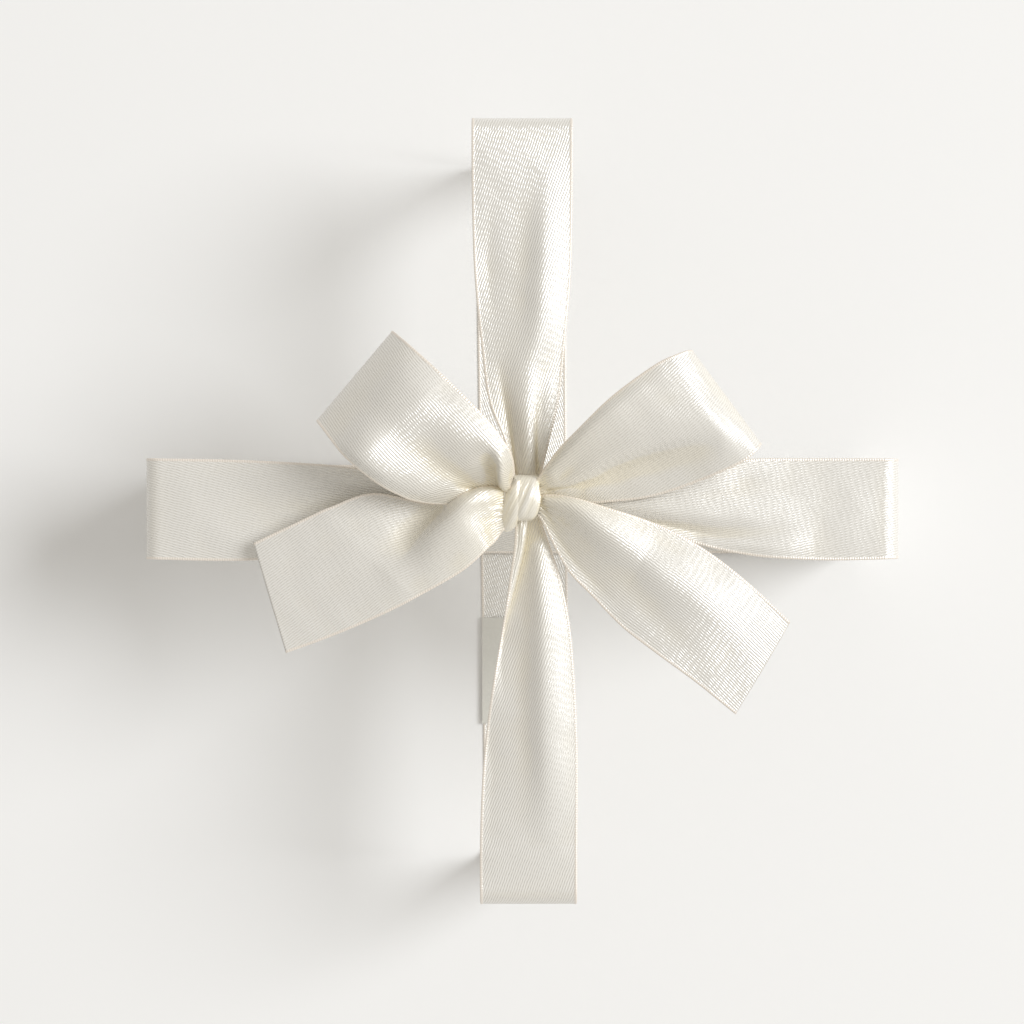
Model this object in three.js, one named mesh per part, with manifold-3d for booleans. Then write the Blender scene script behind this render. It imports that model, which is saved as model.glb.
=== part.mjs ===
// A ready-made gift bow: two loops and two tails of satin ribbon, gathered in a knot, on the
// two ribbon bands that slip round a gift box. Millimetres, +Z up. The origin is on the
// ground under the middle of the bands. X runs along the crosswise band and Y along the
// lengthwise band. Every piece of ribbon is a plain closed solid of its true outline.
import * as THREE from 'three';
import { mergeVertices } from 'three/addons/utils/BufferGeometryUtils.js';
import Module from 'manifold-3d';

const wasm = await Module();
wasm.setup();

// Driving dimensions
const gap = 0.3; // between pieces that touch
const hingeGap = 1.9; // between the knot and the loops and tails, which lift
const ribbonThickness = 0.6;
const bandWidth = 25;
const bandHalfLength = 98; // lengthwise band, middle to outer face
const bandHalfSpan = 94; // crosswise band, middle to outer face
const bandBendRadius = 1.6; // outer radius where a band turns over the box's edge
const bandOffsetY = 0.5; // crosswise band, off the lengthwise band's middle
const boxTop = 60; // height of the surface that the bow lies over
const knotCentre = new THREE.Vector2(-0.2, 3.2);
const knotLength = 8.6; // along X
const knotWidth = 11.4; // along Y
const knotHeight = 8.4;
const wrapThickness = 1.3;
const padSize = new THREE.Vector3(7, 8, 0.8);
const coreSize = new THREE.Vector3(8.8, 6.4, 4.2);
const threadDiameter = 0.5;
const threadTurns = 3;
const threadPitch = 1.4;
const tapeLength = 30;
const tapeWidth = 22;
const tapeThickness = 0.2;
const tapeOffset = 45; // seam, off the middle of the band's underside
const spareDepth = 60; // cutting solids reach this far past what they cut

// Heights of the stacked layers
const crosswiseTop = boxTop + 0.1 + ribbonThickness;
const crosswiseBottom = ribbonThickness + gap;
const lengthwiseTop = crosswiseTop + gap + ribbonThickness;
const padBottom = lengthwiseTop + gap;
const knotHeightCentre = padBottom + padSize.z + gap + knotHeight / 2;

// Half width of a band's top run, by distance from the knot
const waist = [[0, 3.2], [12, 4.8], [25, 8], [42, 10.4], [60, 12], [80, 14]];
const waistCentre = knotCentre.y - bandOffsetY; // the gathered run bends towards the knot
const waistReach = 80;

// Bow pieces. The outline is seen from above, along the piece's own direction from the knot:
// left and right are its two edges, as distance along and across. The profile is the
// ribbon's middle line seen from the side, as distance along and height over the box.
const bowPieces = {
  left_loop: {
    angle: 144,
    left: [[4, 1.6], [10, 7.6], [15, 12.3], [22, 15.9], [32, 17.3], [56, 13.5]],
    right: [[4, -0.9], [8.7, -7], [19, -10.5], [33, -12.5], [56, -14.6]],
    profile: [[3, 8], [9, 14], [19, 21], [30, 24.5], [41, 23], [49, 14.5], [45, 6.5],
      [35, 4.2], [20, 3.8], [9, 5.4], [3, 6.2]],
  },
  right_loop: {
    angle: 26,
    left: [[4, 1], [8.3, 4.2], [20.6, 9.3], [28.7, 11.9], [43, 14.4], [60, 13]],
    right: [[4, -1], [12.6, -6.4], [20.7, -10.6], [28.6, -13.7], [40, -15.7], [60, -13.6]],
    profile: [[3, 8], [10, 13], [20, 18], [32, 21.5], [44, 21], [54, 13.5], [50, 6.5],
      [38, 4.2], [20, 3.8], [9, 5.4], [3, 6.2]],
  },
  left_tail: {
    angle: 201.7,
    left: [[3, 2.6], [12.5, 8.4], [18.4, 10.8], [27.2, 12.3], [40, 13.8], [68, 14]],
    right: [[3, -2], [11.5, -3.1], [18.8, -4.7], [25.5, -8.3], [33, -13.6], [43.7, -15],
      [65, -14.1]],
    profile: [[3, 7], [9, 9], [16, 8.4], [27, 6.2], [40, 5.4], [55, 6.2], [68, 8]],
  },
  right_tail: {
    angle: -35.2,
    left: [[3, 1.8], [7.7, 3.3], [19.2, 8.2], [33.6, 13.8], [44, 15.2], [57, 15], [71, 13]],
    right: [[3, -1.6], [7.8, -1.9], [12.4, -4.7], [19.8, -8.2], [37.8, -11.6], [73.5, -13.1]],
    profile: [[3, 7], [8, 9], [14, 9.2], [26, 8.2], [42, 7.6], [57, 7.6], [76, 6.6]],
  },
};
const profileSteps = { left_loop: 40, right_loop: 40, left_tail: 22, right_tail: 22 };
const outlineSteps = 10;

// Materials
const satin = new THREE.MeshStandardMaterial({ color: '#efeae0', roughness: 0.5, metalness: 0 });
const knotSatin = new THREE.MeshStandardMaterial({ color: '#e9dfc9', roughness: 0.5, metalness: 0 });
const thread = new THREE.MeshStandardMaterial({ color: '#e8e0cc', roughness: 0.8, metalness: 0 });
const tape = new THREE.MeshStandardMaterial({ color: '#f1efe8', roughness: 0.3, metalness: 0 });
const foam = new THREE.MeshStandardMaterial({ color: '#f4f2ec', roughness: 0.9, metalness: 0 });

// A three.js geometry as a solid for cutting, and back
function toSolid(geometry) {
  const bare = geometry.clone();
  bare.deleteAttribute('normal');
  bare.deleteAttribute('uv');
  const merged = mergeVertices(bare, 1e-4);
  return new wasm.Manifold(new wasm.Mesh({
    numProp: 3,
    vertProperties: merged.attributes.position.array,
    triVerts: new Uint32Array(merged.index.array),
  }));
}

function toGeometry(solid) {
  const mesh = solid.getMesh();
  const geometry = new THREE.BufferGeometry();
  geometry.setAttribute('position', new THREE.BufferAttribute(mesh.vertProperties, 3));
  geometry.setIndex(new THREE.BufferAttribute(mesh.triVerts, 1));
  geometry.computeVertexNormals();
  return geometry;
}

const toVectors = (points) => points.map(([a, b]) => new THREE.Vector2(a, b));
const smooth = (points, steps) => new THREE.SplineCurve(toVectors(points)).getPoints(steps);

// A profile drawn as along/up, extruded across: depth is centred on the plane of the profile
function extrudeAcross(shape, depth) {
  const geometry = new THREE.ExtrudeGeometry(shape, {
    depth, bevelEnabled: false, curveSegments: 5,
  });
  geometry.translate(0, 0, -depth / 2);
  geometry.rotateX(Math.PI / 2);
  return geometry;
}

// An outline drawn as seen from above, extruded upwards from the height base
function extrudeUp(shape, base, depth) {
  const geometry = new THREE.ExtrudeGeometry(shape, { depth, bevelEnabled: false });
  geometry.translate(0, 0, base);
  return geometry;
}

function roundedRectangle(path, halfWidth, bottom, top, radius) {
  const quarter = Math.PI / 2;
  const right = halfWidth - radius;
  path.moveTo(-right, bottom);
  path.lineTo(right, bottom);
  path.absarc(right, bottom + radius, radius, -quarter, 0, false);
  path.absarc(right, top - radius, radius, 0, quarter, false);
  path.absarc(-right, top - radius, radius, quarter, 2 * quarter, false);
  path.absarc(-right, bottom + radius, radius, 2 * quarter, 3 * quarter, false);
  return path;
}

// What is cut off one edge of a band's top run to gather it in towards the knot
function waistCutter(side) {
  const outer = side * bandWidth;
  const edge = [];
  for (const direction of [-1, 1]) {
    const half = waist.map(([distance, halfWidth]) => {
      const bend = waistCentre * (1 - distance / waistReach) ** 2;
      return [direction * distance, side * halfWidth + bend];
    });
    if (direction < 0) {
      edge.push(...half.slice(1).reverse());
    } else {
      edge.push(...half);
    }
  }
  const line = smooth(edge, 4 * outlineSteps);
  const shape = new THREE.Shape([
    new THREE.Vector2(-waistReach, outer), ...line, new THREE.Vector2(waistReach, outer),
  ]);
  return toSolid(extrudeUp(shape, boxTop / 2, spareDepth));
}

// A band round the box: a thin rounded frame, gathered in over its top run
function band(halfLength, bottom, top) {
  const outline = roundedRectangle(new THREE.Shape(), halfLength, bottom, top, bandBendRadius);
  const inner = roundedRectangle(
    new THREE.Path(), halfLength - ribbonThickness, bottom + ribbonThickness,
    top - ribbonThickness, bandBendRadius - ribbonThickness,
  );
  outline.holes.push(inner);
  let solid = toSolid(extrudeAcross(outline, bandWidth));
  for (const side of [-1, 1]) {
    solid = solid.subtract(waistCutter(side));
  }
  return toGeometry(solid);
}

// The side view of a ribbon that follows a smooth middle line, one thickness thick
function ribbonProfile(points, steps) {
  const curve = new THREE.SplineCurve(toVectors(points));
  const sides = [-1, 1].map((side) => {
    const line = [];
    for (let step = 0; step <= steps; step += 1) {
      const along = step / steps;
      const tangent = curve.getTangent(along);
      const offset = new THREE.Vector2(-tangent.y, tangent.x);
      offset.multiplyScalar(side * ribbonThickness / 2);
      line.push(curve.getPoint(along).add(offset));
    }
    return line;
  });
  return new THREE.Shape([...sides[0], ...sides[1].reverse()]);
}

// The room that the knot takes up, with the gap round it, in a bow piece's own frame
function knotRoom(angle) {
  const room = new THREE.CylinderGeometry(0.5, 0.5, 1, 24);
  const clear = 2 * hingeGap;
  room.rotateZ(Math.PI / 2);
  room.scale(knotLength + clear, knotWidth + clear, knotHeight + clear);
  room.rotateZ(-angle);
  room.translate(0, 0, knotHeightCentre - boxTop);
  return toSolid(room);
}

// One loop or tail, in its own frame: X from the knot outwards, Z over the box
function bowPiece(name, { angle, left, right, profile }) {
  const side = extrudeAcross(ribbonProfile(profile, profileSteps[name]), spareDepth);
  const outline = new THREE.Shape([
    ...smooth(right, outlineSteps), ...smooth(left, outlineSteps).reverse(),
  ]);
  const turn = THREE.MathUtils.degToRad(angle);
  const solid = toSolid(side)
    .intersect(toSolid(extrudeUp(outline, 0, spareDepth)))
    .subtract(knotRoom(turn));
  const mesh = new THREE.Mesh(toGeometry(solid), satin);
  mesh.name = name;
  mesh.rotation.z = turn;
  mesh.position.set(knotCentre.x, knotCentre.y, boxTop);
  return mesh;
}

// A round piece of the knot: turned about Y, then laid along X and flattened to its height
function turned(profile, segments) {
  const geometry = new THREE.LatheGeometry(toVectors(profile), segments);
  geometry.rotateZ(-Math.PI / 2);
  return geometry.scale(1, 1, knotHeight / knotWidth);
}

// The strip of ribbon wound round the middle, a ring that bulges in the middle
function knotWrap() {
  const radius = knotWidth / 2;
  const half = knotLength / 2;
  const inner = radius - wrapThickness;
  const shoulder = radius - 0.7;
  return turned([
    [inner, -half], [shoulder, -half], [radius, -half / 3], [radius, half / 3],
    [shoulder, half], [inner, half], [inner, -half],
  ], 28);
}

// The pinched middle of the bow's ribbon, inside the wrap
function gatheredCore() {
  const half = coreSize.x / 2;
  const radius = coreSize.y / 2;
  const geometry = new THREE.LatheGeometry(toVectors([
    [0, -half], [radius, -half], [radius * 0.85, 0], [radius, half], [0, half],
  ]), 20);
  geometry.rotateZ(-Math.PI / 2);
  return geometry.scale(1, 1, coreSize.z / coreSize.y);
}

// The thread that binds the middle: a flattened coil just clear of the core
class Coil extends THREE.Curve {
  getPoint(along, target = new THREE.Vector3()) {
    const turn = along * threadTurns * 2 * Math.PI;
    const clear = gap + threadDiameter / 2;
    return target.set(
      (along - 0.5) * threadTurns * threadPitch,
      (coreSize.y / 2 + clear) * Math.cos(turn),
      (coreSize.z / 2 + clear) * Math.sin(turn),
    );
  }
}

function bindingThread() {
  const section = new THREE.Shape();
  section.absarc(0, 0, threadDiameter / 2, 0, 2 * Math.PI);
  return new THREE.ExtrudeGeometry(section, {
    steps: 16 * threadTurns, curveSegments: 3, extrudePath: new Coil(),
  });
}

// The ribbon end tucked out of the knot's lower side
function knotTuck() {
  const outline = new THREE.Shape(toVectors([[-4, 0.4], [-4.4, -1.6], [-2.2, -2.6], [1.4, -0.6],
    [1.2, 0.4]]));
  return extrudeUp(outline, -ribbonThickness / 2, ribbonThickness);
}

function place(name, geometry, material, x, y, z, turn = 0) {
  const mesh = new THREE.Mesh(geometry, material);
  mesh.name = name;
  mesh.position.set(x, y, z);
  mesh.rotation.z = turn;
  return mesh;
}

// Assembly
const bow = new THREE.Group();
const quarterTurn = Math.PI / 2;
bow.add(place('lengthwise_band', band(bandHalfLength, 0, lengthwiseTop), satin,
  0, 0, 0, quarterTurn));
bow.add(place('crosswise_band', band(bandHalfSpan, crosswiseBottom, crosswiseTop), satin,
  0, bandOffsetY, 0));
const tapePiece = new THREE.BoxGeometry(tapeLength, tapeWidth, tapeThickness);
const tapeRise = ribbonThickness + gap + tapeThickness / 2;
bow.add(place('lengthwise_seam_tape', tapePiece, tape, 0, -tapeOffset, tapeRise, quarterTurn));
bow.add(place('crosswise_seam_tape', tapePiece, tape,
  -tapeOffset, bandOffsetY, crosswiseBottom + tapeRise));
bow.add(place('adhesive_pad', new THREE.BoxGeometry(padSize.x, padSize.y, padSize.z), foam,
  knotCentre.x, knotCentre.y, padBottom + padSize.z / 2));

const knot = new THREE.Group();
knot.position.set(knotCentre.x, knotCentre.y, knotHeightCentre);
knot.add(place('gathered_core', gatheredCore(), satin, 0, 0, 0));
knot.add(place('binding_thread', bindingThread(), thread, 0, 0, 0));
knot.add(place('knot_wrap', knotWrap(), knotSatin, 0, 0, 0));
knot.add(place('knot_tuck', knotTuck(), knotSatin,
  0, -knotWidth / 2 - gap - 0.4, -knotHeight / 4));
bow.add(knot);

for (const [name, piece] of Object.entries(bowPieces)) {
  bow.add(bowPiece(name, piece));
}

export default bow;
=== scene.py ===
"""A ready-made gift bow of cream twill-satin ribbon on its two crossed bands.

Every ribbon is one woven strip, built as a grid of points between two edges, and each edge is a
smooth curve through a few given points. Its folds are ridges and valleys drawn in plan:
short lines that start near the knot and die away along the strip.
with X and Y in the part's frame and heights over the top of the box.
"""
import math

import bpy
import numpy as np
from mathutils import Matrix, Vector


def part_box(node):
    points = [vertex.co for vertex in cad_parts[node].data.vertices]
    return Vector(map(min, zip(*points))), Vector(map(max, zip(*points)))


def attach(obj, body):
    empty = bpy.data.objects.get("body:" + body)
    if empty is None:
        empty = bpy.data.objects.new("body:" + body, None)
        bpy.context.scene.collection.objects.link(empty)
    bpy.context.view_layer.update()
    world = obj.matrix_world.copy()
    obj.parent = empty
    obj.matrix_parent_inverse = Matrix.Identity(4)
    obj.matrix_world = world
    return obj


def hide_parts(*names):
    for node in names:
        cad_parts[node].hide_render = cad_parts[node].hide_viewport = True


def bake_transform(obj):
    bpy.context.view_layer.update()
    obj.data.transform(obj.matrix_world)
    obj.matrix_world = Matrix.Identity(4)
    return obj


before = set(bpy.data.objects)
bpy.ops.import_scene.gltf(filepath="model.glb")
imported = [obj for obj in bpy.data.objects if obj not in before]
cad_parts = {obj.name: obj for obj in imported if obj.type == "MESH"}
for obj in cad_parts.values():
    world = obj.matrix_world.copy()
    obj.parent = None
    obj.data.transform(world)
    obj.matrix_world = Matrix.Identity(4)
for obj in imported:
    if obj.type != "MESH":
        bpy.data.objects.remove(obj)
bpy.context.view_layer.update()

MM = 0.001
CLOTH = 0.34  # thickness of the woven ribbon
SELVEDGE = 0.7  # width of the woven edge
SELVEDGE_EXTRA = 0.16  # how much thicker the woven edge is
RIM_SHARE = 0.45  # the share of its thickness that the ribbon has at its very edge
RIM_ROUND = 0.1375  # how far in from there it comes to all of it
ROW_STEP = 0.5
BAND_ROW_STEP = 0.7
COLUMNS = 80
EDGE_COLUMNS = 0.10  # how strongly the columns crowd towards the edges, up to 0.15

# ---------------------------------------------------------------- places from the frame
crosswise_low, crosswise_high = (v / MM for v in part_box("crosswise_band"))
lengthwise_low, lengthwise_high = (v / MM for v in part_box("lengthwise_band"))
knot_low, knot_high = (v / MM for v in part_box("knot_wrap"))
knot_centre = (knot_low + knot_high) / 2
knot_size = knot_high - knot_low
BAND_STACK = 0.7  # how far the upper band's face lies over the box
TOP = crosswise_high.z - BAND_STACK  # the height of the box's top


# ---------------------------------------------------------------- curves
def smooth(low, high, x):
    """0 below low, 1 above high, and an even ease between them."""
    f = np.clip((np.asarray(x, float) - low) / (high - low), 0, 1)
    return f * f * (3 - 2 * f)


def curve(knots, rows, at):
    """The smooth curve through rows at the parameters knots, read at the parameters at."""
    knots = np.asarray(knots, float)
    rows = np.asarray(rows, float).reshape(len(knots), -1)
    slope = np.gradient(rows, knots, axis=0)
    at = np.clip(at, knots[0], knots[-1])
    i = np.clip(np.searchsorted(knots, at, side="right") - 1, 0, len(knots) - 2)
    gap = (knots[i + 1] - knots[i])[:, None]
    f = ((at - knots[i]) / (knots[i + 1] - knots[i]))[:, None]
    return (
        (2 * f**3 - 3 * f**2 + 1) * rows[i]
        + (f**3 - 2 * f**2 + f) * gap * slope[i]
        + (3 * f**2 - 2 * f**3) * rows[i + 1]
        + (f**3 - f**2) * gap * slope[i + 1]
    )


def lengths(points):
    """The distance along a line of points, from its first."""
    steps = np.linalg.norm(np.diff(points, axis=0), axis=1)
    return np.concatenate([[0], np.cumsum(steps)])


def fold_height(folds, x, y):
    """The height that folds, drawn in plan, add at the places x, y.

    A fold is a line of (x, y, height, width to its left, width to its right), from the knot
    outwards. A negative height is a valley, which is sharper at its bottom than a ridge is at
    its top.
    """
    total = np.zeros(np.shape(x))
    for fold in folds:
        rows = np.array(fold, float)
        knots = lengths(rows[:, :2])
        line = curve(knots, rows, np.linspace(0, knots[-1], 6 * len(rows)))
        start, step = line[:-1], np.diff(line, axis=0)
        off_x = x[..., None] - start[:, 0]
        off_y = y[..., None] - start[:, 1]
        reach = step[:, 0] ** 2 + step[:, 1] ** 2 + 1e-9
        f = np.clip((off_x * step[:, 0] + off_y * step[:, 1]) / reach, 0, 1)
        off_x = off_x - f * step[:, 0]
        off_y = off_y - f * step[:, 1]
        away = np.hypot(off_x, off_y)
        nearest = np.argmin(away, axis=-1)[..., None]

        def pick(values):
            return np.take_along_axis(values, nearest, axis=-1)[..., 0]

        f, away = pick(f), pick(away)
        cross = pick(step[:, 0] * off_y - step[:, 1] * off_x)
        # 1 to the fold's left, -1 to its right, and in between past its two ends
        side = cross / (np.sqrt(reach)[nearest[..., 0]] * away + 1e-6)
        at = start[nearest[..., 0]] + f[..., None] * step[nearest[..., 0]]
        height = at[..., 2]
        width = at[..., 4] + (at[..., 3] - at[..., 4]) * (1 + np.clip(side, -1, 1)) / 2
        power = np.where(height > 0, 2.0, 1.5)
        total += height * np.exp(-((away / width) ** power))
    return total


def arched(t):
    """1 in the middle of a strip, and 0 at its two edges."""
    return 4 * t * (1 - t)


def gathers(s, t, count, height, reach, phase):
    """Small uneven pleats at the knot, which die away over reach."""
    wave = np.sin(2 * math.pi * (count * t + phase) + 0.9 * np.sin(7 * t + s / 5))
    wave = wave * (0.6 + 0.4 * np.sin(5 * t + 9 * phase))
    return height * wave * np.exp(-((s / reach) ** 1.5)) * smooth(0, 0.12, t) * smooth(0, 0.12, 1 - t)


def unevenness(x, y, height=0.04):
    """The slight waves of soft cloth."""
    wave = np.sin(0.61 * x + 0.35 * y + 1.1 * np.sin(0.23 * y)) + np.sin(0.30 * x - 0.55 * y + 2)
    return height * wave


def columns_at(count):
    """Shares across a strip from 0 to 1, closer together near its two edges."""
    even = np.linspace(0, 1, count)
    return even - EDGE_COLUMNS * np.sin(2 * math.pi * even)


# ---------------------------------------------------------------- woven strips
def strip_faces(rows, columns, closed):
    """The faces of a strip's upper and lower sheets, and then those of its edges and ends."""
    index = np.arange(rows * columns).reshape(rows, columns)
    if closed:
        index = np.concatenate([index, index[:1]])
    under = index + rows * columns

    def quads(a, b, c, d):
        return np.stack([a.ravel(), b.ravel(), c.ravel(), d.ravel()], axis=1)

    sheets = np.concatenate([
        quads(index[:-1, :-1], index[1:, :-1], index[1:, 1:], index[:-1, 1:]),
        quads(under[:-1, :-1], under[:-1, 1:], under[1:, 1:], under[1:, :-1]),
    ])
    rims = [
        quads(index[:-1, 0], under[:-1, 0], under[1:, 0], index[1:, 0]),
        quads(index[:-1, -1], index[1:, -1], under[1:, -1], under[:-1, -1]),
    ]
    if not closed:
        rims.append(quads(index[0, :-1], index[0, 1:], under[0, 1:], under[0, :-1]))
        rims.append(quads(index[-1, :-1], under[-1, :-1], under[-1, 1:], index[-1, 1:]))
    return sheets, np.concatenate(rims)


def lay_coordinates(mesh, along, across, join_at=None):
    """Ribbon coordinates in metres: along the strip, and across it from its middle.

    join_at is the length of a closed strip, whose last row of faces joins its end to its start.
    """
    uv = np.stack([along.ravel(), across.ravel()], axis=1) * MM
    corners = np.zeros(len(mesh.loops), int)
    mesh.loops.foreach_get("vertex_index", corners)
    corner_uv = np.concatenate([uv, uv])[corners]
    if join_at is not None:
        # The far corners of that last row run on past the end.
        total = join_at * MM
        face_u = corner_uv[:, 0].reshape(-1, 4)
        wraps = np.repeat((face_u.max(1) - face_u.min(1)) > total / 2, 4)
        corner_uv[wraps & (corner_uv[:, 0] < total / 2), 0] += total
    layer = mesh.uv_layers.new(name="Ribbon")
    layer.data.foreach_set("uv", corner_uv.astype(np.float32).ravel())


def strip_mesh(name, surface, along, bounce_glow, closed=False, turned=None):
    """A closed mesh of a woven strip whose middle surface is surface, rows x columns x 3, in mm.

    along is each row's distance along the ribbon, and turned marks the rows where the ribbon
    shows its other face, so that its ribs lean the other way.
    """
    rows, columns, _ = surface.shape
    if closed:
        ring = np.concatenate([surface[-2:-1], surface, surface[1:2]])
        d_along = ring[2:] - ring[:-2]
    else:
        d_along = np.gradient(surface, axis=0)
    normal = np.cross(d_along, np.gradient(surface, axis=1))
    normal /= np.linalg.norm(normal, axis=2, keepdims=True) + 1e-9
    steps = np.linalg.norm(np.diff(surface, axis=1), axis=2)
    across = np.concatenate([np.zeros((rows, 1)), np.cumsum(steps, axis=1)], axis=1)
    from_edge = np.minimum(across, across[:, -1:] - across)
    middle_out = across - across[:, -1:] / 2
    if turned is not None:
        middle_out = np.where(turned[:, None], -middle_out, middle_out)
    bead_place = 0.45 * SELVEDGE
    bead = np.exp(-((from_edge / bead_place - 1) ** 2))
    rim = np.clip(RIM_SHARE + (1 - RIM_SHARE) * from_edge / RIM_ROUND, 0, 1)
    thickness = (CLOTH + SELVEDGE_EXTRA * bead) * rim
    offset = normal * (thickness / 2)[:, :, None]
    along_rows = np.repeat(np.asarray(along, float)[:, None], columns, axis=1)
    fields = [surface + offset, surface - offset, middle_out, from_edge, bounce_glow, along_rows]
    if closed:
        # Its last row is its first one again.
        fields = [field[:-1] for field in fields]
        rows -= 1
    upper, lower, middle_out, from_edge, bounce_glow, along_rows = fields
    points = np.concatenate([upper.reshape(-1, 3), lower.reshape(-1, 3)]) * MM
    sheets, rims = strip_faces(rows, columns, closed)
    mesh = bpy.data.meshes.new(name)
    mesh.from_pydata(points.tolist(), [], np.concatenate([sheets, rims]).tolist())
    mesh.validate()
    mesh.update()
    is_smooth = np.arange(len(sheets) + len(rims)) < len(sheets)
    mesh.polygons.foreach_set("use_smooth", is_smooth)
    lay_coordinates(mesh, along_rows, middle_out, along[-1] if closed else None)
    # The first attribute carries the painted warm glow of light bouncing in the creases.
    for attribute_name, values in (("bounce_glow", bounce_glow), ("from_edge", from_edge * MM)):
        attribute = mesh.attributes.new(attribute_name, "FLOAT", "POINT")
        both_sides = np.concatenate([values.ravel(), values.ravel()])
        attribute.data.foreach_set("value", both_sides.astype(np.float32))
    obj = bpy.data.objects.new(name, mesh)
    bpy.context.scene.collection.objects.link(obj)
    return obj


def painted_crease_glow(height, from_knot, reach, blur_passes=40):
    """Painted warm glow, standing in for light bouncing between the folds: strongest near the knot and
    in the valleys between folds.
    """
    blurred = height.copy()
    for _ in range(blur_passes):
        padded = np.pad(blurred, 1, mode="edge")
        blurred = (padded[:-2, 1:-1] + padded[2:, 1:-1] + padded[1:-1, :-2] + padded[1:-1, 2:]) / 4
    # A valley a quarter of a millimetre below the cloth around it gets the full painted glow.
    valley = np.clip((blurred - height) * 4, 0, 1)
    near = np.exp(-np.asarray(from_knot)[:, None] / reach)
    return np.clip(0.8 * near + 0.9 * valley * (0.3 + near), 0, 1)


def loft(edge_a, edge_b):
    """The plain surface between two edges: rows x columns x 3, and where each row and column
    lies, along the strip in mm and across it as a share."""
    edge_a, edge_b = np.asarray(edge_a, float), np.asarray(edge_b, float)
    knots = lengths((edge_a + edge_b) / 2)
    at = np.linspace(0, knots[-1], int(knots[-1] / ROW_STEP) + 1)
    line_a, line_b = curve(knots, edge_a, at), curve(knots, edge_b, at)
    t = columns_at(COLUMNS)
    surface = line_a[:, None] * (1 - t)[None, :, None] + line_b[:, None] * t[None, :, None]
    return surface, lengths((line_a + line_b) / 2), t


# ---------------------------------------------------------------- materials
def nodes_of(name):
    material = bpy.data.materials.new(name)
    material.use_nodes = True
    tree = material.node_tree
    return material, tree, tree.nodes["Principled BSDF"]


class Maths:
    """Short calls for the shader arithmetic of one material."""

    def __init__(self, tree):
        self.tree = tree

    def put(self, socket, value):
        if isinstance(value, bpy.types.NodeSocket):
            self.tree.links.new(value, socket)
        else:
            socket.default_value = value

    def math(self, operation, a, b=0.0, c=0.0, clamp=False):
        node = self.tree.nodes.new("ShaderNodeMath")
        node.operation = operation
        node.use_clamp = clamp
        for socket, value in zip(node.inputs, (a, b, c)):
            self.put(socket, value)
        return node.outputs[0]

    def line(self, value, scale, offset=0.0):
        return self.math("MULTIPLY_ADD", value, scale, offset)

    def wave(self, turns):
        """A sine that repeats at every whole number of turns."""
        return self.math("SINE", self.math("MULTIPLY", turns, 2 * math.pi))

    def between(self, low, high, value):
        """An even ease from 0 at low to 1 at high."""
        node = self.tree.nodes.new("ShaderNodeMapRange")
        node.interpolation_type = "SMOOTHSTEP"
        self.put(node.inputs["Value"], value)
        node.inputs["From Min"].default_value = low
        node.inputs["From Max"].default_value = high
        return node.outputs[0]

    def mix(self, share, a, b):
        node = self.tree.nodes.new("ShaderNodeMix")
        node.data_type = "RGBA"
        self.put(node.inputs["Factor"], share)
        self.put(node.inputs["A"], a)
        self.put(node.inputs["B"], b)
        return node.outputs["Result"]

    def noise(self, vector, scale, detail=2.0, roughness=0.5):
        node = self.tree.nodes.new("ShaderNodeTexNoise")
        self.put(node.inputs["Vector"], vector)
        node.inputs["Scale"].default_value = scale
        node.inputs["Detail"].default_value = detail
        node.inputs["Roughness"].default_value = roughness
        return node.outputs["Fac"]

    def attribute(self, name):
        node = self.tree.nodes.new("ShaderNodeAttribute")
        node.attribute_name = name
        return node.outputs["Fac"]


RIB_PITCH = 0.00062  # in metres, as the ribbon coordinates are
FLOAT_PITCH = 2.4 * RIB_PITCH  # along a rib, from one float of thread to the next
WEAVE_DEPTH = 0.00016
PALE = (0.875, 0.857, 0.82, 1)
# WARM is the colour of the painted warm glow of bounced light, and the knot's edge tint too.
WARM = (0.93, 0.84, 0.62, 1)
# SHADE is the colour of the shade painted between the ribs.
SHADE = (0.58, 0.54, 0.46, 1)
PEACH = (0.86, 0.74, 0.62, 1)


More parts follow.
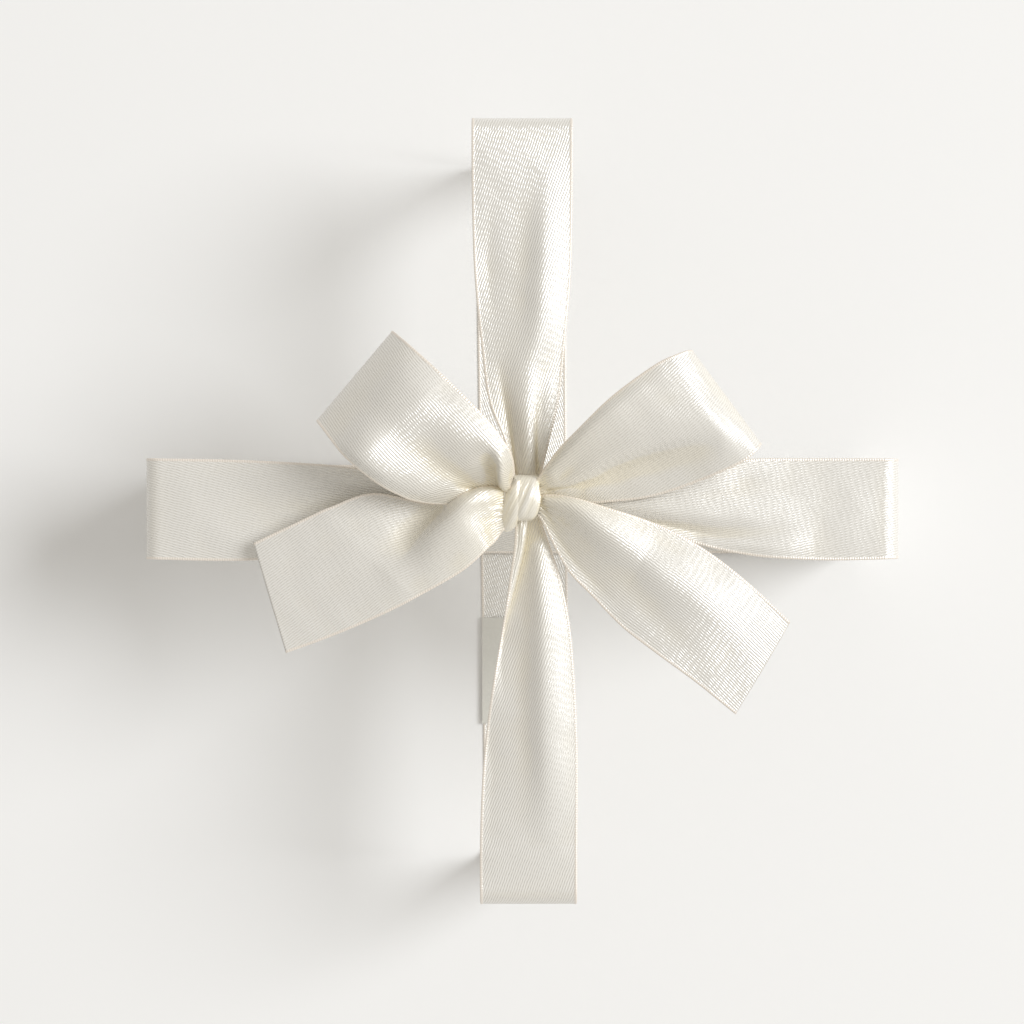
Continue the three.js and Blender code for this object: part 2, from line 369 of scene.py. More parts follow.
def satin(name, lean_degrees, edge_tint=PEACH, relief=0.6, groove_shade=0.55):
    """Cream twill satin: fine ribs that lean off the ribbon's length, a woven edge, and a painted
    warm glow in the creases at the knot, which stands in for light bouncing between the folds.

    relief is how strongly the weave stands out, and groove how dark the painted shade between the ribs
    is.
    """
    material, tree, shader = nodes_of(name)
    m = Maths(tree)
    uv = tree.nodes.new("ShaderNodeUVMap")
    uv.uv_map = "Ribbon"
    split = tree.nodes.new("ShaderNodeSeparateXYZ")
    m.put(split.inputs[0], uv.outputs["UV"])
    along, across = split.outputs["X"], split.outputs["Y"]
    wander = m.noise(uv.outputs["UV"], 300.0, 3.0, 0.6)
    slow = m.noise(uv.outputs["UV"], 110.0, 2.0)
    lean = math.radians(lean_degrees)

    def turns(along_share, across_share, pitch, stray):
        """How many pitches along a slanting line, which strays by up to stray of them."""
        across_turns = m.line(across, across_share / pitch)
        return m.line(wander, stray, m.line(along, along_share / pitch, across_turns))

    rib = m.wave(turns(-math.sin(lean), math.cos(lean), RIB_PITCH, 1.0))
    float_thread = m.wave(turns(math.cos(lean), math.sin(lean), FLOAT_PITCH, 2.5))
    weave = m.line(rib, m.line(float_thread, 0.15, 0.40), 0.5)
    weave = m.math("ADD", weave, m.line(slow, 0.10, -0.05))

    from_edge = m.attribute("from_edge")
    body = m.between(SELVEDGE * 0.75 * MM, SELVEDGE * 1.15 * MM, from_edge)
    in_edge = m.math("SUBTRACT", 1.0, body)
    edge_weave = m.line(m.wave(m.math("MULTIPLY", along, 1 / RIB_PITCH)), 0.25, 0.7)
    height = m.line(weave, body, m.math("MULTIPLY", edge_weave, in_edge))

    bump = tree.nodes.new("ShaderNodeBump")
    bump.inputs["Strength"].default_value = relief
    bump.inputs["Distance"].default_value = WEAVE_DEPTH
    m.put(bump.inputs["Height"], height)
    m.put(shader.inputs["Normal"], bump.outputs["Normal"])

    # Painted warm glow: the cloth is tinted warm where light would bounce between folds, near the knot
    # and in creases.
    patch = m.noise(uv.outputs["UV"], 35.0, 2.0)
    share = m.math("MULTIPLY", m.attribute("bounce_glow"), m.line(patch, 0.4, 0.85), clamp=True)
    colour = m.mix(share, PALE, WARM)
    # Painted shade: the cloth is darkened between the ribs, where shade falls.
    rib_shade = m.math("MULTIPLY", m.math("SUBTRACT", 1.0, height), groove_shade)
    colour = m.mix(rib_shade, colour, SHADE)
    colour = m.mix(m.math("MULTIPLY", in_edge, 0.55), colour, edge_tint)
    m.put(shader.inputs["Base Color"], colour)
    # The floats of satin shine far more than plain cloth does.
    m.put(shader.inputs["Roughness"], m.line(slow, 0.06, 0.33))
    shader.inputs["IOR"].default_value = 2.05
    shader.inputs["Specular IOR Level"].default_value = 1.0
    shader.inputs["Sheen Weight"].default_value = 0.15
    shader.inputs["Sheen Roughness"].default_value = 0.4
    shader.inputs["Sheen Tint"].default_value = (1.0, 0.97, 0.92, 1)
    return material


def dress(obj, material):
    obj.data.materials.clear()
    obj.data.materials.append(material)


def lift(rows):
    """Rows of (x, y, height over the box) as points in the part's frame."""
    rows = np.asarray(rows, float).copy()
    rows[:, 2] += TOP
    return rows


def loop_edge(front, turn, back):
    """One edge of a whole loop: out over the front, round the turn, and back underneath.

    turn lists (distance short of the front's end, height) round the outer fold, and back lists
    (share of the way out, height) on the way home under the front.
    """
    front = np.asarray(front, float)
    way = lengths(front[:, :2])
    places = [(way[-1] - short, height) for short, height in turn]
    places += [(way[-1] * share, height) for share, height in back]
    home = curve(way, front, np.array([place for place, _ in places]))
    home[:, 2] = [height for _, height in places]
    return np.concatenate([front, home])


def bow_piece(name, edges, folds, crown, lean, loop_fade=0, glow_reach=12):
    """A loop or a tail between two edges.

    crown lists (distance from the knot, how far the middle stands over the edges). loop_fade is
    how far from a loop's outer fold its folds begin to die away, and 0 for a tail.
    """
    surface, s, t = loft(lift(edges[0]), lift(edges[1]))
    grid_x, grid_y = surface[..., 0], surface[..., 1]
    crown_at, crown_height = np.array(crown, float).T
    arch = curve(crown_at, crown_height[:, None], s)
    rise = fold_height(folds, grid_x, grid_y) + arch * arched(t)
    rise = rise + unevenness(grid_x, grid_y)
    from_knot = s
    if loop_fade:
        off_knot = surface.mean(axis=1)[:, :2] - np.array(knot_centre.xy)
        outer_fold = s[np.argmax(np.hypot(off_knot[:, 0], off_knot[:, 1]))]
        rise = rise * (1 - smooth(outer_fold - loop_fade, outer_fold, s))[:, None]
        from_knot = np.minimum(s, s[-1] - s)
    # The crown's height serves as the phase as well, so that no two pieces are pleated alike.
    rise = rise + gathers(
        from_knot[:, None], t[None, :], count=5, height=0.16, reach=6, phase=crown_height[1])
    surface[..., 2] += rise
    # A painted warm glow, standing in for light bouncing in the creases and near the knot.
    bounce_glow = painted_crease_glow(rise, from_knot, glow_reach)
    obj = strip_mesh(name + "_ribbon", surface, s, bounce_glow)
    dress(obj, satin(name + "_satin", lean))
    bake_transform(obj)
    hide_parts(name)


# Each row of an edge is (x, y, height), from the knot outwards.
left_loop_upper = [(-1.6, 5.0, 7.2), (-3.0, 6.3, 9.4), (-2.1, 8.9, 12), (-2.1, 11.1, 14),
                   (-2.8, 13.9, 16), (-4.6, 16.7, 17.5), (-7.9, 21.1, 18.5), (-14.5, 27.8, 19),
                   (-19.9, 33.0, 19.3), (-25.3, 38.0, 18.6), (-28.8, 41.2, 16.4), (-31.2, 43.3, 12.5)]
left_loop_lower = [(-2.4, 4.2, 6.6), (-6.8, 2.9, 7), (-11.6, 2.2, 7.5), (-16.5, 1.7, 8.2),
                   (-20.8, 1.7, 10), (-26.1, 2.4, 12.5), (-30.8, 4.3, 14.5), (-35.6, 7.2, 16.5),
                   (-40.5, 11.2, 18), (-43.5, 14.1, 17.6), (-47.5, 19.0, 15.4), (-49.6, 21.5, 12.5)]
# The loops' edges turn and come back like this, and the right loop's lower edge lies flatter.
loop_turn = [(0.2, 10.2), (1.0, 8.3), (2.8, 6.6), (6.5, 5.2)]
loop_back = [(0.74, 4.0), (0.5, 3.4), (0.3, 3.7), (0.16, 5.0), (0.0, 6.2)]
low_turn = [(0.2, 7.6), (1.0, 6.9), (2.8, 6.4), (6.5, 6.2)]
low_back = [(0.74, 6.2), (0.5, 6.0), (0.3, 6.0), (0.16, 6.0), (0.0, 6.0)]
left_loop_folds = [
    # the crown, which bulges beside the upper edge
    [(-8.5, 12.5, 0.8, 4, 4), (-14, 17.5, 2.0, 6, 7), (-19.5, 23, 2.2, 8, 9),
     (-30, 31, 1.8, 10, 10), (-38, 34, 0.5, 12, 12)],
    # the long crease from the knot, and the swelling along the lower edge
    [(-8.0, 5.0, -1.2, 1.2, 1.8), (-13, 6.8, -2.0, 2.6, 3.0), (-18, 9.8, -1.5, 4.0, 4.0),
     (-23, 13, -0.7, 5, 6), (-28, 16, 0, 6, 8)],
    [(-20, 4.0, 0.3, 2, 3), (-28, 6.5, 1.6, 3, 6), (-36, 11.0, 3.0, 3, 7), (-42, 16, 2.4, 3, 8),
     (-47, 21, 0, 4, 8)],
    # the upper edge's fold beside the knot, shaped like an ear, and the pit inside it
    [(-3.9, 4.8, 1.0, 0.5, 1.6), (-5.2, 6.6, 3.2, 0.5, 2.2), (-5.7, 8.7, 4.2, 0.5, 2.6),
     (-5.6, 11.3, 3.8, 0.9, 2.8), (-6.6, 14.5, 2.4, 2.4, 3.5), (-9.5, 19, 1.2, 4, 4),
     (-15, 25, 0.5, 4, 4)],
    [(-5.6, 5.0, -1.0, 1.6, 0.5), (-6.5, 7.5, -2.1, 2.8, 0.7), (-6.8, 10, -2.1, 3.4, 1.1),
     (-7.8, 12.3, -1.2, 3.8, 1.8), (-9.6, 14.5, 0, 4, 3)],
    # a thin pleat below the crease
    [(-9.5, 5.2, 0, 0.5, 0.4), (-13, 5.6, -0.8, 0.6, 0.5), (-17, 6.3, 0, 0.6, 0.8)],
]
bow_piece(
    "left_loop",
    [loop_edge(edge, loop_turn, loop_back) for edge in (left_loop_upper, left_loop_lower)],
    left_loop_folds, lean=-6, loop_fade=20,
    crown=[(0, 0), (16, 1.4), (42, 2.2), (56, 0.3), (64, 0), (200, 0)],
)

right_loop_upper = [(2.0, 6.0, 7.6), (5.2, 10.2, 11), (8.0, 14.2, 12.5), (14.3, 20.7, 14.5),
                    (20.6, 26.8, 16), (27.2, 31.9, 17), (32.6, 35.5, 17.4), (36.6, 37.3, 17.2),
                    (39.3, 38.3, 16.2), (40.5, 38.5, 13.5)]
right_loop_lower = [(2.4, 3.6, 6.4), (8.6, 2.7, 7.0), (15.2, 2.0, 7.3), (21.3, 2.2, 7.6),
                    (31.0, 3.4, 8.6), (40.3, 6.3, 10.2), (47.5, 9.2, 11.8), (53.6, 12.2, 12.4),
                    (56.5, 14.6, 11.8), (57.8, 16.0, 9.6)]
right_loop_folds = [
    # the crown beside the upper edge, whose side towards the edge lies in shade
    [(7.0, 9.5, 1.4, 1.6, 2.5), (12, 15, 2.8, 2.6, 5), (20, 22.5, 3.2, 3.4, 7), (29, 28, 2.0, 5, 9),
     (38, 33, 1.0, 7, 10)],
    # the long ridge down the middle and the valley below it
    [(9, 5, 0.3, 1.5, 1.5), (15, 9, 1.2, 3, 2.5), (22, 13, 2.2, 5, 3.0), (33, 17.0, 2.8, 7, 3.6),
     (44, 20.0, 2.4, 8, 5.0), (52, 21.5, 1.6, 8, 6.0)],
    [(15, 6.5, -0.8, 2, 2.5), (22, 9.3, -1.8, 2.6, 4), (31, 12.2, -1.8, 3.4, 5), (40, 14.5, -0.9, 4, 6),
     (48, 16, 0, 5, 5)],
    # a small pleat at the knot
    [(6, 5.0, -0.8, 0.6, 0.8), (12, 6.0, -0.7, 0.8, 1.0), (20, 8.0, 0, 1, 1)],
]
bow_piece(
    "right_loop",
    (loop_edge(right_loop_upper, loop_turn, loop_back),
     loop_edge(right_loop_lower, low_turn, low_back)),
    right_loop_folds, lean=-14, loop_fade=10, glow_reach=15,
    crown=[(0, 0), (20, 1.6), (44, 1.4), (58, 0.4), (70, 0), (200, 0)],
)

left_tail_upper = [(-1.6, 3.6, 6.8), (-4.8, 5.6, 8.2), (-7.9, 5.9, 8.6), (-10.6, 5.6, 8.8),
                   (-13.3, 4.6, 8.5), (-15.9, 3.4, 8), (-18.7, 2.3, 6.8), (-22.7, 2.0, 5.8),
                   (-27.1, 2.7, 5.6), (-36.2, 4.4, 6.4), (-46.4, 1.2, 6.8), (-56.1, -3.2, 6.0),
                   (-65.9, -7.8, 5.2)]
left_tail_lower = [(-1.4, -1.6, 6.2), (-4.4, -4.4, 6.6), (-5.6, -6.0, 6.5), (-6.8, -7.6, 6.8),
                   (-8.7, -9.3, 7.2), (-11.0, -11.6, 7.6), (-13.8, -14.0, 7.8), (-18.0, -16.7, 7.6),
                   (-23.5, -19.8, 7.4), (-30.0, -23.3, 7.2), (-38.8, -27.4, 6.6), (-48.3, -31.3, 5.8),
                   (-57.9, -34.8, 5.2)]
left_tail_folds = [
    # the upper edge rolls over beside the knot
    [(-4.6, 4.4, 0.2, 1.5, 0.8), (-8, 4.8, 2.2, 3, 1.1), (-11, 4.4, 2.6, 3, 1.2),
     (-14, 3.2, 2.4, 3, 1.2), (-17.2, 1.7, 1.2, 3, 1.4), (-20, 0.5, 0, 3, 2)],
    # the big round ridge, and the shaded valley behind it
    [(-3.0, 1.6, 0.6, 3, 3), (-8, 2.0, 1.4, 4, 3), (-12.5, 1.2, 3.0, 6, 3), (-17.5, -1.8, 4.3, 7, 3),
     (-22, -6, 4.0, 7, 3.2), (-26, -11, 2.4, 7, 4.5), (-31, -16.5, 0.9, 6, 6), (-38, -22, 0, 5, 6)],
    [(-19, 1.5, -0.5, 2, 3), (-22.5, -1.5, -2.0, 3, 5), (-26, -6, -2.2, 4, 6),
     (-29, -10.5, -1.4, 5, 7), (-33, -15, 0, 6, 8)],
    # three small gathers at the knot
    [(-4.4, 1.0, -0.5, 0.35, 0.35), (-8, 1.6, 0, 0.3, 0.3)],
    [(-4.4, -0.2, -0.5, 0.35, 0.35), (-8.5, -0.2, 0, 0.3, 0.3)],
    [(-4.4, -1.4, -0.5, 0.35, 0.35), (-8, -2.0, 0, 0.3, 0.3)],
]
bow_piece(
    "left_tail", (left_tail_upper, left_tail_lower), left_tail_folds, lean=14,
    crown=[(0, 0), (14, 2.0), (30, 1.0), (50, 0.5), (75, 0.3)],
)

right_tail_upper = [(2.4, 3.0, 7.2), (5.0, 4.0, 8.5), (8.0, 4.0, 9), (12.5, 3.2, 9.2),
                    (20.2, 0.9, 9), (28.1, -1.5, 8.5), (35.4, -4.4, 8), (44.3, -9.3, 7),
                    (54.8, -17.3, 6.5), (65.3, -27.1, 6.5)]
right_tail_lower = [(1.6, 0.0, 6.2), (3.8, -1.3, 6.8), (5.1, -3.3, 7), (7.0, -7.3, 7),
                    (11.1, -14.7, 7), (16.9, -20.8, 7), (24.0, -28.1, 7), (32.1, -34.4, 7),
                    (41.8, -41.5, 7), (51.9, -49.6, 7)]
right_tail_folds = [
    # the ridge along the upper edge, and the valley beside it
    [(6, 2.6, 1.2, 1.2, 1.8), (12.5, 0.9, 3.0, 2.8, 3.6), (20.0, -4.2, 3.8, 5, 5),
     (30, -11.5, 2.8, 6, 6), (42, -19, 1.4, 7, 7), (52, -25, 0.5, 8, 8)],
    [(5.2, 0.2, -0.4, 0.9, 1.2), (8.2, -5.5, -0.9, 2.5, 1.6), (12.4, -12, -1.0, 3.4, 2.4),
     (18, -18, -0.8, 4.5, 3), (26, -25, 0, 5, 4)],
    # the broad crown towards the cut end
    [(28, -13, 0, 7, 6), (38, -18, 1.6, 8, 8), (47, -24, 1.6, 9, 9), (54, -30, 0.6, 9, 9)],
    # two small gathers at the knot
    [(4.6, 1.6, -0.6, 0.35, 0.35), (9, 0.0, 0, 0.4, 0.4)],
    [(4.8, 0.8, -0.5, 0.3, 0.3), (8, -2.0, 0, 0.3, 0.3)],
]
bow_piece(
    "right_tail", (right_tail_upper, right_tail_lower), right_tail_folds, lean=3,
    crown=[(0, 0), (16, 1.2), (34, 0.8), (50, 0.8), (78, 0.4)],
)


# ---------------------------------------------------------------- bands round the box
BAND_INSET = 0.4  # how far a band's shoulders stay inside the CAD's
BAND_ARCH = 0.55  # how far a band's middle stands over its two edges, on top
FOLDS_END = (14, 3)  # a band's folds die away between these distances from its ends
LEVEL = 0.05  # how close to its top or bottom a row of a band counts as lying flat
ARC_STEPS = 6  # the points round each corner of its side view
PATH_STEP = 4  # and the distance between those along its straight stretches


def band_path(half, bottom, top, bend=3.6, bulge=1.0):
    """A closed side view of a band, as (along, height): down, under, up and over the top.

    Its corners are rounded to the radius bend, and its sides stand out by bulge halfway up.
    """
    points = []
    corners = [(half, top), (half, bottom), (-half, bottom), (-half, top)]
    for i, (x, z) in enumerate(corners):
        outward = math.copysign(1, x)
        centre_x = x - bend * outward
        centre_z = z - bend if z == top else z + bend
        for step in range(ARC_STEPS + 1):
            angle = math.radians(90 * (1 - i - step / ARC_STEPS))
            points.append((centre_x + bend * math.cos(angle), centre_z + bend * math.sin(angle)))
        last_x, last_z = points[-1]
        next_x, next_z = corners[(i + 1) % 4]
        is_side = next_x == x
        reach = (abs(next_z - z) if is_side else abs(next_x - x)) - 2 * bend
        steps = int(reach / PATH_STEP)
        for step in range(1, steps):
            f = step / steps
            if is_side:
                out = bulge * outward * math.sin(math.pi * f) ** 2
                points.append((last_x + out, last_z + math.copysign(reach, next_z - z) * f))
            else:
                points.append((last_x + math.copysign(reach, next_x - x) * f, last_z))
    return np.array(points)


def band_edges(out, half, on_top, underneath, runs):
    """Each row's two edges across the band, and how far its top stands over the path."""
    low, high, over = np.zeros((3, len(out)))
    for sign, run in runs.items():
        places, *edges = np.array(run["edges"], float).T
        this_end = out * sign >= 0
        top_rows = on_top & this_end
        rows = curve(places, np.array(edges).T, np.abs(out[top_rows]))
        low[top_rows], high[top_rows], over[top_rows] = rows.T
        other_rows = ~on_top & this_end
        low[other_rows], high[other_rows] = edges[0][-1], edges[1][-1]
    # Underneath, the two ends' places run evenly into each other.
    share = smooth(-half, half, out[underneath])
    for side, places in ((1, low), (2, high)):
        start, end = runs[-1]["edges"][-1][side], runs[1]["edges"][-1][side]
        places[underneath] = start * (1 - share) + end * share
    return low, high, over


def band(name, lengthwise, path, runs, lean, twisted=False):
    """One band, whose plan comes from the two runs that reach out from the knot over the top.

    A twisted band turns over inside the knot, so its two runs show different faces.
    """
    closed_path = np.concatenate([path, path[:1]])
    s_path = lengths(closed_path)
    total = s_path[-1]
    s = np.linspace(0, total, int(total / BAND_ROW_STEP) + 1)
    out, height = (np.interp(s, s_path, closed_path[:, k]) for k in (0, 1))
    t = columns_at(COLUMNS)
    half = path[:, 0].max()
    on_top = height > path[:, 1].max() - LEVEL
    underneath = height < path[:, 1].min() + LEVEL
    low, high, over = band_edges(out, half, on_top, underneath, runs)
    across = low[:, None] * (1 - t) + high[:, None] * t
    along = np.repeat(out[:, None], len(t), axis=1)
    x, y = (across, along) if lengthwise else (along, across)
    folds = fold_height(runs[1]["folds"] + runs[-1]["folds"], x, y) + unevenness(x, y, 0.02)
    near_knot = (out - (knot_centre.y if lengthwise else knot_centre.x))[:, None]
    folds += gathers(np.abs(near_knot), t[None, :], count=5, height=0.2, reach=8, phase=0.2)
    folds += BAND_ARCH * arched(t)
    flat_ends = 1 - smooth(half - FOLDS_END[0], half - FOLDS_END[1], np.abs(out))[:, None]
    rise = np.where(on_top[:, None], np.maximum(folds * flat_ends + over[:, None], 0), 0)
    surface = np.stack([x, y, height[:, None] + rise], axis=2)
    surface[-1] = surface[0]
    reach = np.where(on_top, np.abs(near_knot[:, 0]), total)
    # A painted warm glow, standing in for light bouncing in the creases and near the knot.
    bounce_glow = painted_crease_glow(rise, reach, 15)
    obj = strip_mesh(
        name + "_ribbon", surface, s, bounce_glow, closed=True, turned=(out < 0) if twisted else None)
    dress(obj, satin(name + "_satin", lean))
    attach(obj, "wrap")
    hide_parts(name + "_band")


# Each run lists (distance along the band from the part's middle, one edge, other edge, rise).
north = {
    "edges": [(0, -2.2, 4.0, 2.6), (5, -2.1, 4.2, 2.4), (8.1, -2.2, 4.6, 2.4), (17, -4.4, 6.5, 2.6),
              (26.1, -8.0, 8.7, 2.4), (40.4, -10.1, 10.3, 1.6), (57.2, -11.8, 11.8, 0.8),
              (77, -12.5, 12.3, 0.3), (98, -12.6, 12.4, 0)],
    "folds": [
        # the long middle fold, with a sharp line on its right
        [(1.6, 9, 1.2, 2.2, 1.4), (1.4, 17, 1.9, 3, 1.9), (1.2, 27, 1.7, 4, 3),
         (1.2, 40, 1.0, 5, 4), (2, 52, 0.4, 6, 5)],
        [(3.5, 9, -0.7, 0.35, 0.5), (3.2, 15, -0.8, 0.35, 0.5), (3.0, 21, -0.5, 0.4, 0.6),
         (3.4, 29, 0, 0.6, 1.0)],
        [(5.0, 9, 0.5, 1.0, 1), (5.6, 17, 0.9, 1.6, 1.4), (6.6, 28, 0.7, 2, 2), (7, 38, 0, 2, 3)],
        [(-1.6, 9, -1, 0.8, 1.0), (-2.6, 16, -1.3, 1.4, 1.4), (-4.2, 26, -0.9, 2, 2),
         (-6, 38, 0, 2, 3)],
        # the swelling along its right edge, and the hollow on its left
        [(4, 34, 0.2, 3, 5), (5.0, 46, 1.8, 4, 5), (5.5, 62, 2.0, 4, 6), (6.5, 78, 0.8, 4, 5),
         (7, 88, 0, 5, 5)],
        [(-7, 46, 0, 3, 3), (-8.5, 58, -0.6, 3, 4), (-8, 72, -0.3, 4, 4), (-7, 84, 0, 4, 4)],
    ],
}
south = {
    "edges": [(0, -2.2, 4.4, 2.4), (2.5, -1.9, 4.8, 2.4), (8.6, -2.1, 6.8, 2.4), (15.7, -3.1, 9.0, 2.4),
              (26.8, -4.6, 11.4, 2.2), (40.4, -7.0, 12.7, 1.6), (57.9, -9.3, 13.5, 0.8),
              (81.6, -10.5, 13.5, 0.3), (98, -10.5, 13.5, 0)],
    "folds": [
        # a valley whose left side is a sharp fold, and the bright swelling on the right
        [(1.4, -3, -1.0, 1.4, 0.3), (0.6, -8, -1.8, 2.4, 0.3), (-1.0, -15, -2.0, 3.4, 0.3),
         (-2.7, -22, -2.0, 4.4, 0.4), (-4.2, -28, -1.8, 5, 0.7), (-5.2, -38, -1.0, 6, 2),
         (-4, -50, 0, 6, 4)],
        [(4, -10, 1.0, 3, 2), (5.0, -28, 2.2, 5, 3), (5.5, -46, 2.8, 6, 4), (6, -64, 2.1, 6, 4),
         (7, -82, 0.3, 5, 5)],
        [(-8, -44, 0, 4, 3), (-8, -58, -0.8, 5, 3), (-8, -72, -0.6, 5, 4), (-8, -84, 0, 4, 4)],
    ],
}
west = {
    "edges": [(0, 0.8, 5.6, 0.6), (4.3, 0.7, 5.4, 0.8), (13, -2.2, 6.7, 1.4), (25.3, -6.4, 8.9, 1.6),
              (41.9, -9.9, 10.9, 1.2), (66.6, -12.2, 12.5, 0.4), (94, -12.0, 13.1, 0)],
    "folds": [
        [(-12, 2.5, -0.8, 2, 2), (-26, 1.5, -1.4, 4, 3), (-42, 1.0, -1.2, 5, 4), (-62, 1, -0.5, 6, 5),
         (-76, 1, 0, 6, 6)],
        [(-20, 6, 0.5, 2, 2), (-36, 8, 1.2, 3, 3), (-56, 9, 0.8, 4, 3), (-76, 9, 0, 4, 4)],
        [(-20, -4, 0.5, 2, 2), (-40, -7, 1.4, 3, 3), (-62, -8, 0.9, 4, 3), (-80, -8, 0, 4, 4)],
    ],
}
east = {
    "edges": [(0, 1.6, 5.4, 0.6), (5.6, 2.0, 4.9, 1.2), (16.6, 0.5, 6.2, 3.0), (28.9, -2.5, 8.6, 3.4),
              (41.2, -7.6, 11.1, 3.0), (55.7, -10.9, 12.8, 2.0), (71.2, -12.1, 13.0, 0.7),
              (94, -11.9, 13.0, 0)],
    "folds": [
        # the crest from the knot, the valley along the tail, and the bright ridge past it
        [(9, 3, 0.5, 1.5, 1.5), (16, 1.8, 1.4, 2.5, 1.2), (28, 0.4, 1.7, 4, 2.2),
         (41, -0.6, 1.6, 5, 2.8), (58, -1.5, 0.9, 6, 4), (74, -2, 0, 6, 6)],
        [(22, -0.8, -0.8, 1.2, 1), (31, -2.5, -1.4, 1.6, 1.4), (44, -5.4, -1.5, 2.4, 1.8),
         (56, -7, -0.8, 3, 3), (66, -8, 0, 3, 3)],
        [(46, -7.5, 0.5, 2, 1.5), (54, -8, 1.3, 2.5, 2), (62, -8.5, 1.2, 3, 3), (72, -8, 0, 4, 4)],
        # the swelling under the loop
        [(24, 3.5, 0.3, 3, 3), (36, 6, 1.2, 4, 4), (47, 9, 1.4, 4, 4), (56, 11, 0.6, 4, 3),
         (66, 10, 0, 4, 4)],
    ],
}
half_cloth = CLOTH / 2
lengthwise_path = band_path(
    lengthwise_high.y - BAND_INSET, lengthwise_low.z + half_cloth, lengthwise_high.z - half_cloth)
crosswise_path = band_path(
    crosswise_high.x - BAND_INSET, crosswise_low.z + half_cloth, crosswise_high.z - half_cloth)
band("lengthwise", True, lengthwise_path, {1: north, -1: south}, lean=20)
band("crosswise", False, crosswise_path, {1: east, -1: west}, lean=14, twisted=True)


# ---------------------------------------------------------------- knot
KNOT_INSET = 0.3  # how far the modelled wrap stays inside the CAD's

knot_satin = satin("knot_satin", -25, edge_tint=WARM, relief=0.35, groove_shade=0.15)


def slanting(x, height, width, top=8.4, bottom=-1.6):
    """A crease of the knot that leans to the right, at x halfway down."""
    lean = 0.42
    middle = (top + bottom) / 2
    return [(x + lean * (y - middle), y, height * share, width, width)
            for y, share in ((top, 0.2), (middle + 2, 1), (middle - 2, 1), (bottom, 0.2))]


def knot_strip(name, surface, s, swell, closed=False):
    """One strip of the knot's ribbon, with a painted warm glow in its creases that stands in for light
    bouncing there.
    """
    # Painted warm glow: the whole knot is tinted warm, more so in its creases, as light bouncing
    # between its folds would tint it.
    bounce_glow = np.clip(0.45 - 0.8 * swell, 0, 1)
    obj = strip_mesh(name + "_ribbon", surface, s, bounce_glow, closed=closed)
    dress(obj, knot_satin)
    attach(obj, "wrap")
    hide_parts(name)


def knot_wrap():
    """The ribbon wound round the middle: fine slanting creases on a lumpy barrel."""
    around = 200
    angle = np.linspace(0, 2 * math.pi, around + 1)[:, None]
    t = columns_at(COLUMNS)[None, :]
    y = knot_centre.y + (knot_size.y / 2 - KNOT_INSET) * np.cos(angle)
    # Each row: y, left edge, right edge, as the knot is seen from above.
    outline = np.array([(-2.2, -1.8, 2.4), (-1.2, -2.2, 3.2), (1.0, -2.5, 4.0), (3.2, -2.7, 4.3),
                        (5.5, -2.6, 4.0), (7.5, -2.2, 3.9), (8.6, -2.0, 3.7)], float)
    left, right = curve(outline[:, 0], outline[:, 1:], y[:, 0]).T
    # 1 over the knot's top, and 0 underneath, where the wrap lies a little further left
    on_top = smooth(-0.2, 0.5, np.sin(angle))
    left = left[:, None] - 0.8 * (1 - on_top)
    right = right[:, None] - 0.3 * (1 - on_top)
    x = left * (1 - t) + right * t
    barrel = 1 - 0.32 * np.abs(2 * t - 1) ** 3
    lumps = 0.12 * np.sin(2.2 * angle + 2.5 * t) + 0.10 * np.sin(3.1 * angle - 4 * t + 1)
    lumps = lumps * np.sin(angle / 2)
    creases = [slanting(-1.3, -0.22, 0.6), slanting(0.3, -0.25, 0.5), slanting(1.4, 0.25, 0.9),
               slanting(2.6, -0.20, 0.5)]
    swell = fold_height(creases, x, y * np.ones_like(x)) * on_top
    half_height = knot_size.z / 2 * barrel + lumps - KNOT_INSET
    z = knot_centre.z + np.sin(angle) * half_height + swell
    y = knot_centre.y + (y - knot_centre.y) * (0.9 + 0.1 * barrel)
    surface = np.stack([x, y * np.ones_like(x), z], axis=2)
    surface[-1] = surface[0]
    s = lengths(surface.mean(axis=1))
    knot_strip("knot_wrap", surface, s, swell, closed=True)


def knot_tuck():
    """The ribbon's end, which comes out from under the knot and over its left side."""
    left = [(-2.4, 7.6, 8.0), (-3.6, 4.8, 8.9), (-4.7, 1.6, 8.4), (-5.1, -1.2, 7.6),
            (-5.0, -3.8, 6.3), (-4.2, -4.9, 5.2), (-2.8, -4.6, 4.2)]
    right = [(-0.6, 7.6, 9.6), (-0.5, 5.0, 10.2), (-0.5, 2.0, 10.2), (-0.7, -0.5, 9.4),
             (-1.3, -2.4, 7.8), (-1.5, -3.2, 5.8), (-1.2, -3.2, 4.4)]
    surface, s, t = loft(lift(left), lift(right))
    surface[..., 2] += 1.3 * arched(t)
    creases = [slanting(-3.4, -0.25, 0.4, 6, -4), slanting(-2.2, -0.3, 0.5, 7, -4)]
    swell = fold_height(creases, surface[..., 0], surface[..., 1])
    surface[..., 2] += swell
    knot_strip("knot_tuck", surface, s, swell)


knot_wrap()
knot_tuck()


# ---------------------------------------------------------------- small inner pieces
def plain_material(name, colour, roughness, scale, depth):
    """A plain material with a fine grain in its colour and surface."""
    material, tree, shader = nodes_of(name)
    m = Maths(tree)
    place = tree.nodes.new("ShaderNodeTexCoord").outputs["Object"]
    grain = m.noise(place, scale, 3.0, 0.6)
    dark = tuple(0.8 * c for c in colour[:3]) + (1,)
    m.put(shader.inputs["Base Color"], m.mix(m.math("MULTIPLY", grain, 0.6), colour, dark))
    shader.inputs["Roughness"].default_value = roughness
    bump = tree.nodes.new("ShaderNodeBump")
    bump.inputs["Distance"].default_value = depth
    bump.inputs["Strength"].default_value = 0.5
    m.put(bump.inputs["Height"], grain)
    m.put(shader.inputs["Normal"], bump.outputs["Normal"])
    return material


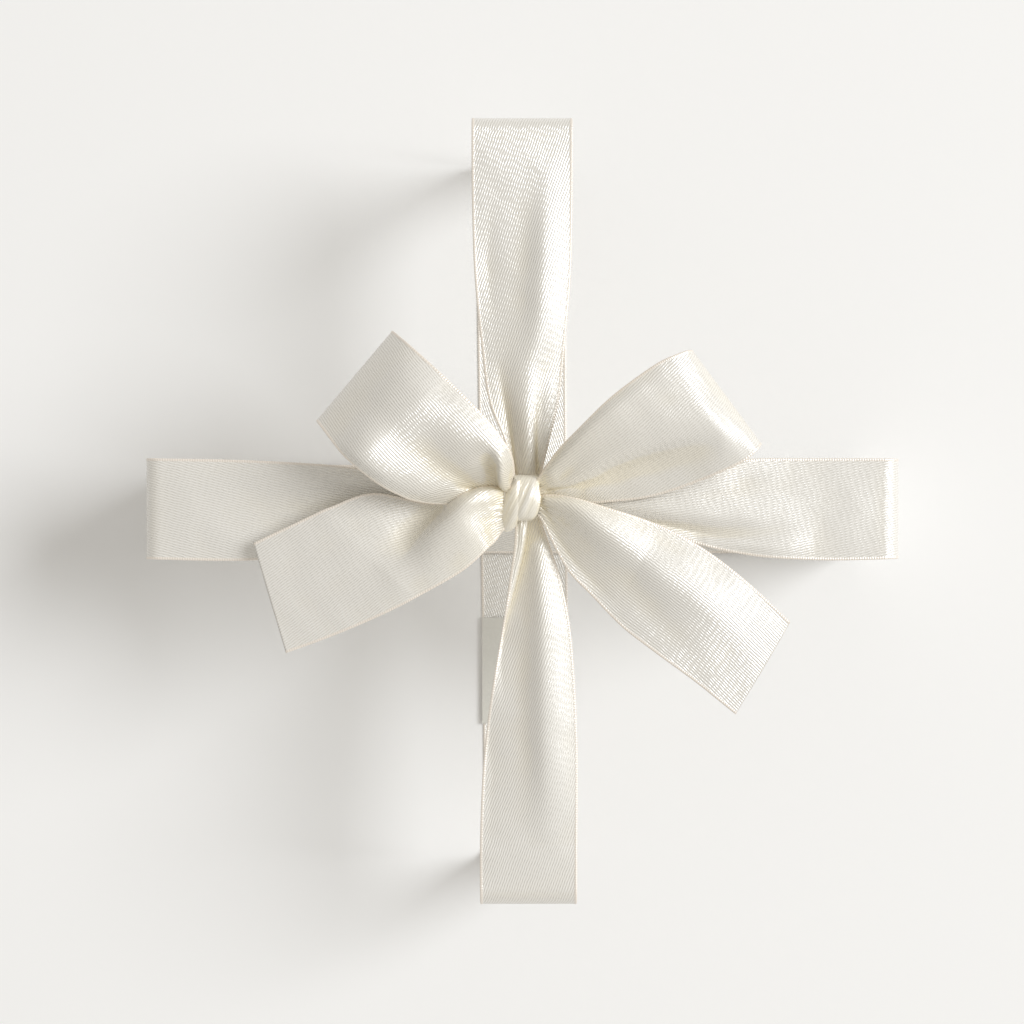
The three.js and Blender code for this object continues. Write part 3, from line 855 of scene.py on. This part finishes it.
foam = plain_material("foam", (0.80, 0.79, 0.75, 1), 0.9, 2500, 0.0003)
tape = plain_material("tape", (0.76, 0.75, 0.70, 1), 0.35, 900, 0.00005)
thread = plain_material("thread", (0.70, 0.65, 0.55, 1), 0.8, 4000, 0.0001)
core_cloth = plain_material("core_cloth", (0.72, 0.66, 0.54, 1), 0.6, 2200, 0.0003)
finishes = {
    "adhesive_pad": foam,
    "lengthwise_seam_tape": tape,
    "crosswise_seam_tape": tape,
    "binding_thread": thread,
    "gathered_core": core_cloth,
}
for node, material in finishes.items():
    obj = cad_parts[node]
    obj.data.materials.clear()
    obj.data.materials.append(material)


# ---------------------------------------------------------------- floor, light and camera
def floor():
    bpy.ops.mesh.primitive_plane_add(size=6, location=(0, 0, 0))
    plane = bpy.context.object
    plane.name = "studio_floor"
    material, _, shader = nodes_of("studio_floor")
    shader.inputs["Base Color"].default_value = (0.91, 0.91, 0.91, 1)
    shader.inputs["Roughness"].default_value = 0.8
    plane.data.materials.append(material)


def area_light(name, place, size, power, colour):
    data = bpy.data.lights.new(name, "AREA")
    data.shape = "DISK"
    data.size = size
    data.energy = power
    data.color = colour
    light = bpy.data.objects.new(name, data)
    bpy.context.scene.collection.objects.link(light)
    light.location = place
    aim = Vector((0, 0, TOP * MM)) - Vector(place)
    light.rotation_euler = aim.to_track_quat("-Z", "Y").to_euler()


floor()
area_light("key", place=(4.45, 1.10, 3.95), size=3.4, power=266.0, colour=(0.97, 0.985, 1.0))
world = bpy.data.worlds.new("studio")
world.use_nodes = True
background = world.node_tree.nodes["Background"]
background.inputs["Color"].default_value = (1, 0.965, 0.90, 1)
background.inputs["Strength"].default_value = 0.55
bpy.context.scene.world = world
bpy.context.scene.view_settings.view_transform = "Standard"

CAMERA_X, CAMERA_Y = -2.6, -0.25
CAMERA_HEIGHT = 423.0  # over the box's top
camera_data = bpy.data.cameras.new("camera")
camera_data.lens = 60
camera_data.sensor_width = 36
camera_data.dof.use_dof = False
camera_data.clip_start = 0.01
camera = bpy.data.objects.new("camera", camera_data)
camera.location = Vector((CAMERA_X, CAMERA_Y, TOP + CAMERA_HEIGHT)) * MM
bpy.context.scene.collection.objects.link(camera)
bpy.context.scene.camera = camera

bpy.context.view_layer.update()
